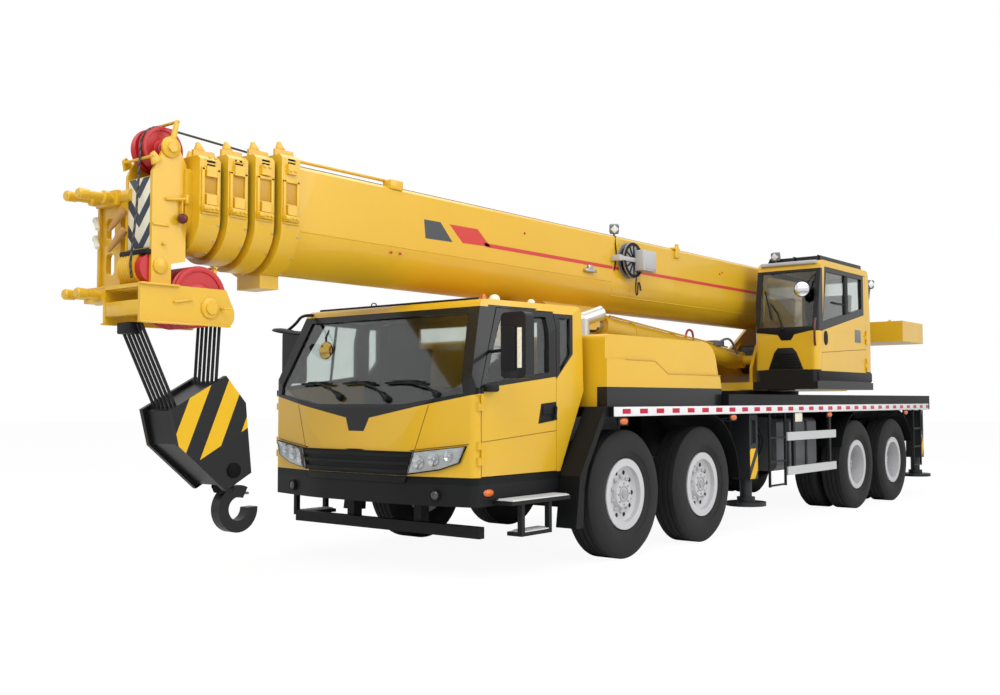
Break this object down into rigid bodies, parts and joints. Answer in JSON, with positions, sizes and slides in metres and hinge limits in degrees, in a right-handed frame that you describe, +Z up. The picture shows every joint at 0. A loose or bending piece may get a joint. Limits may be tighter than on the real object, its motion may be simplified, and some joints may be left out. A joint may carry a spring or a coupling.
{
  "type": "mobile crane",
  "caption": "Truck-mounted telescopic crane with steered front axles, hydraulic outriggers, slewing upper, luffing boom and hook block.",
  "frame": {"origin": "on the ground under the middle of the whole machine", "axes": "+X forward out of the driver cab, +Y to the left side, +Z up"},
  "size_m": [12.6, 3.08, 3.1498],
  "materials": {
    "crane_yellow": "gloss",
    "chassis_black": "satin",
    "machine_grey": "satin",
    "wheel_grey": "satin",
    "rubber": "matte",
    "glass": "gloss",
    "trim_plastic": "matte",
    "sheave_red": "satin",
    "chrome_rod": "polished"
  },
  "bodies": {
    "carrier": {"chassis_frame": "chassis_black", "axles": "chassis_black", "engine_block": "machine_grey", "deck": "chassis_black", "outrigger_boxes": "machine_grey", "engine_cover": "crane_yellow", "cab_floor": "chassis_black", "cab_front": "crane_yellow", "cab_rear": "crane_yellow", "cab_roof": "crane_yellow", "cab_glass": "glass", "cab_interior": "trim_plastic", "bumper": "chassis_black", "side_guards": "machine_grey"},
    "knuckle_1_left": {"knuckle_1_left": "chassis_black"},
    "wheel_1_left": {"tyre_1_left": "rubber", "rim_1_left": "wheel_grey"},
    "knuckle_1_right": {"knuckle_1_right": "chassis_black"},
    "wheel_1_right": {"tyre_1_right": "rubber", "rim_1_right": "wheel_grey"},
    "knuckle_2_left": {"knuckle_2_left": "chassis_black"},
    "wheel_2_left": {"tyre_2_left": "rubber", "rim_2_left": "wheel_grey"},
    "knuckle_2_right": {"knuckle_2_right": "chassis_black"},
    "wheel_2_right": {"tyre_2_right": "rubber", "rim_2_right": "wheel_grey"},
    "wheel_3_left": {"tyres_3_left": "rubber", "rim_3_left": "wheel_grey"},
    "wheel_3_right": {"tyres_3_right": "rubber", "rim_3_right": "wheel_grey"},
    "wheel_4_left": {"tyres_4_left": "rubber", "rim_4_left": "wheel_grey"},
    "wheel_4_right": {"tyres_4_right": "rubber", "rim_4_right": "wheel_grey"},
    "upper": {"turntable": "crane_yellow", "counterweight": "crane_yellow", "op_cab_shell": "crane_yellow", "op_cab_glass": "glass", "op_cab_interior": "trim_plastic"},
    "op_door": {"op_cab_door": "crane_yellow"},
    "boom_1": {"boom_base": "crane_yellow"},
    "boom_2": {"boom_2": "crane_yellow"},
    "boom_3": {"boom_3": "crane_yellow"},
    "boom_4": {"boom_4": "crane_yellow"},
    "tip": {"boom_tip": "crane_yellow", "head_sheaves": "sheave_red"},
    "lift_barrel": {"lift_barrel": "crane_yellow"},
    "lift_rod": {"lift_rod": "chrome_rod"},
    "hook": {"hook_block": "chassis_black"},
    "beam_front_left": {"beam_front_left": "machine_grey"},
    "jack_front_left": {"jack_front_left": "machine_grey"},
    "beam_front_right": {"beam_front_right": "machine_grey"},
    "jack_front_right": {"jack_front_right": "machine_grey"},
    "beam_rear_left": {"beam_rear_left": "machine_grey"},
    "jack_rear_left": {"jack_rear_left": "machine_grey"},
    "beam_rear_right": {"beam_rear_right": "machine_grey"},
    "jack_rear_right": {"jack_rear_right": "machine_grey"},
    "cab_door_left": {"cab_door_left": "crane_yellow"},
    "cab_door_right": {"cab_door_right": "crane_yellow"}
  },
  "joints": [
    {"name": "steer_1_left", "type": "hinge", "parent": "carrier", "child": "knuckle_1_left", "pos_m": [2.15, 0.925, 0.545], "axis": [0, 0, 1], "range_deg": [-35, 35]},
    {"name": "spin_1_left", "type": "hinge", "parent": "knuckle_1_left", "child": "wheel_1_left", "pos_m": [2.15, 1.155, 0.545], "axis": [0, 1, 0], "continuous": true},
    {"name": "steer_1_right", "type": "hinge", "parent": "carrier", "child": "knuckle_1_right", "pos_m": [2.15, -0.925, 0.545], "axis": [0, 0, 1], "range_deg": [-35, 35]},
    {"name": "spin_1_right", "type": "hinge", "parent": "knuckle_1_right", "child": "wheel_1_right", "pos_m": [2.15, -1.155, 0.545], "axis": [0, 1, 0], "continuous": true},
    {"name": "steer_2_left", "type": "hinge", "parent": "carrier", "child": "knuckle_2_left", "pos_m": [0.785, 0.925, 0.545], "axis": [0, 0, 1], "range_deg": [-27.6, 27.6]},
    {"name": "spin_2_left", "type": "hinge", "parent": "knuckle_2_left", "child": "wheel_2_left", "pos_m": [0.785, 1.155, 0.545], "axis": [0, 1, 0], "continuous": true},
    {"name": "steer_2_right", "type": "hinge", "parent": "carrier", "child": "knuckle_2_right", "pos_m": [0.785, -0.925, 0.545], "axis": [0, 0, 1], "range_deg": [-27.6, 27.6]},
    {"name": "spin_2_right", "type": "hinge", "parent": "knuckle_2_right", "child": "wheel_2_right", "pos_m": [0.785, -1.155, 0.545], "axis": [0, 1, 0], "continuous": true},
    {"name": "spin_3_left", "type": "hinge", "parent": "carrier", "child": "wheel_3_left", "pos_m": [-3.205, 0.995, 0.545], "axis": [0, 1, 0], "continuous": true},
    {"name": "spin_3_right", "type": "hinge", "parent": "carrier", "child": "wheel_3_right", "pos_m": [-3.205, -0.995, 0.545], "axis": [0, 1, 0], "continuous": true},
    {"name": "spin_4_left", "type": "hinge", "parent": "carrier", "child": "wheel_4_left", "pos_m": [-4.52, 0.995, 0.545], "axis": [0, 1, 0], "continuous": true},
    {"name": "spin_4_right", "type": "hinge", "parent": "carrier", "child": "wheel_4_right", "pos_m": [-4.52, -0.995, 0.545], "axis": [0, 1, 0], "continuous": true},
    {"name": "slew", "type": "hinge", "parent": "carrier", "child": "upper", "pos_m": [-2.8, 0, 1.4], "axis": [0, 0, 1], "continuous": true},
    {"name": "operator_door", "type": "hinge", "parent": "upper", "child": "op_door", "pos_m": [-3.587, 1.3025, 1.65], "axis": [0, 0, 1], "range_deg": [0, 90]},
    {"name": "luff", "type": "hinge", "parent": "upper", "child": "boom_1", "pos_m": [-4.6, 0, 2.62], "axis": [0, -1, 0], "range_deg": [0, 80]},
    {"name": "telescope_2", "type": "slide", "parent": "boom_1", "child": "boom_2", "axis": [1, 0, 0], "range_m": [0, 7.7]},
    {"name": "telescope_3", "type": "slide", "parent": "boom_2", "child": "boom_3", "axis": [1, 0, 0], "range_m": [0, 7.7]},
    {"name": "telescope_4", "type": "slide", "parent": "boom_3", "child": "boom_4", "axis": [1, 0, 0], "range_m": [0, 7.7]},
    {"name": "telescope_5", "type": "slide", "parent": "boom_4", "child": "tip", "axis": [1, 0, 0], "range_m": [0, 7.7]},
    {"name": "lift_swing", "type": "hinge", "parent": "upper", "child": "lift_barrel", "pos_m": [-2.55, 0, 1.85], "axis": [0, -1, 0], "range_deg": [0, 91.5]},
    {"name": "lift_extend", "type": "slide", "parent": "lift_barrel", "child": "lift_rod", "axis": [0.9966, 0, 0.0826], "range_m": [0, 2.676]},
    {"name": "hook_swing", "type": "hinge", "parent": "tip", "child": "hook", "pos_m": [5.46, 0, 1.88], "axis": [0, -1, 0], "range_deg": [-52.5, 0]},
    {"name": "outrigger_front_left", "type": "slide", "parent": "carrier", "child": "beam_front_left", "axis": [0, 1, 0], "range_m": [0, 1.9]},
    {"name": "jack_front_left", "type": "slide", "parent": "beam_front_left", "child": "jack_front_left", "axis": [0, 0, -1], "range_m": [0, 0.58]},
    {"name": "outrigger_front_right", "type": "slide", "parent": "carrier", "child": "beam_front_right", "axis": [0, -1, 0], "range_m": [0, 1.9]},
    {"name": "jack_front_right", "type": "slide", "parent": "beam_front_right", "child": "jack_front_right", "axis": [0, 0, -1], "range_m": [0, 0.58]},
    {"name": "outrigger_rear_left", "type": "slide", "parent": "carrier", "child": "beam_rear_left", "axis": [0, 1, 0], "range_m": [0, 1.9]},
    {"name": "jack_rear_left", "type": "slide", "parent": "beam_rear_left", "child": "jack_rear_left", "axis": [0, 0, -1], "range_m": [0, 0.58]},
    {"name": "outrigger_rear_right", "type": "slide", "parent": "carrier", "child": "beam_rear_right", "axis": [0, -1, 0], "range_m": [0, 1.9]},
    {"name": "jack_rear_right", "type": "slide", "parent": "beam_rear_right", "child": "jack_rear_right", "axis": [0, 0, -1], "range_m": [0, 0.58]},
    {"name": "door_left", "type": "hinge", "parent": "carrier", "child": "cab_door_left", "pos_m": [3.887, 1.1425, 0.775], "axis": [0, 0, -1], "range_deg": [0, 70]},
    {"name": "door_right", "type": "hinge", "parent": "carrier", "child": "cab_door_right", "pos_m": [3.887, -1.1425, 0.775], "axis": [0, 0, 1], "range_deg": [0, 70]}
  ],
  "couplings": [
    {"joint": "steer_1_right", "follows": "steer_1_left", "ratio": 1},
    {"joint": "steer_2_left", "follows": "steer_1_left", "ratio": 0.773},
    {"joint": "steer_2_right", "follows": "steer_1_left", "ratio": 0.773},
    {"joint": "telescope_3", "follows": "telescope_2", "ratio": 1},
    {"joint": "telescope_4", "follows": "telescope_2", "ratio": 1},
    {"joint": "telescope_5", "follows": "telescope_2", "ratio": 1},
    {"joint": "lift_swing", "follows": "luff", "ratio": 1.137},
    {"joint": "lift_extend", "follows": "luff", "m_per_rad": 1.9129},
    {"joint": "hook_swing", "follows": "luff", "ratio": -0.65}
  ]
}
